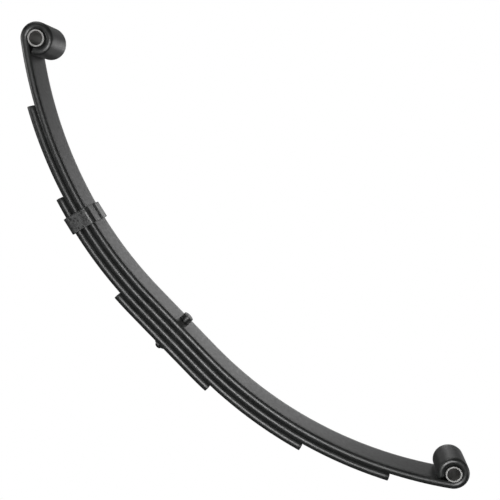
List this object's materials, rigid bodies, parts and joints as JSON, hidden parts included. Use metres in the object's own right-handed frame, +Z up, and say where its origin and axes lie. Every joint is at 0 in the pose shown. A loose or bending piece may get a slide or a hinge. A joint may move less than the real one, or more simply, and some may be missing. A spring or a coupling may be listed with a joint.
{
  "type": "leaf spring",
  "caption": "Curved pack of flat steel leaves with a rolled, bushed eye at each end, a centre bolt and a rebound clip, to carry a light trailer axle.",
  "frame": {"origin": "on the centre bolt's axis, in the plane of the main leaf's top face, where the axle pad sits", "axes": "+X along the spring to the rear eye, +Y along the eyes' axes, +Z up: the leaves curve up to the eyes"},
  "size_m": [0.6758, 0.051, 0.1637],
  "materials": {
    "leaf_paint": "satin black paint",
    "clip_paint": "matt dark grey paint on rough strap",
    "fastener_paint": "satin black paint",
    "bush_steel": "bare turned tube"
  },
  "bodies": {
    "leaf_pack": {"main_leaf": "leaf_paint", "second_leaf": "leaf_paint", "third_leaf": "leaf_paint", "fourth_leaf": "leaf_paint", "rebound_clip": "clip_paint", "clip_rivet": "fastener_paint", "centre_bolt": "fastener_paint", "centre_nut": "fastener_paint"},
    "front_eye": {"front_bush": "bush_steel"},
    "rear_eye": {"rear_bush": "bush_steel"}
  },
  "joints": [
    {"name": "front_flex", "type": "hinge", "parent": "leaf_pack", "child": "front_eye", "pos_m": [-0.1373, 0, 0.0052], "axis": [0, -1, 0], "range_deg": [0, 12], "stiffness_Nm_per_rad": 5200, "deforming": ["main_leaf", "second_leaf", "third_leaf", "rebound_clip", "clip_rivet"]},
    {"name": "rear_flex", "type": "hinge", "parent": "leaf_pack", "child": "rear_eye", "pos_m": [0.1373, 0, 0.0052], "axis": [0, 1, 0], "range_deg": [0, 12], "stiffness_Nm_per_rad": 5200, "deforming": ["main_leaf", "second_leaf", "third_leaf"]}
  ]
}
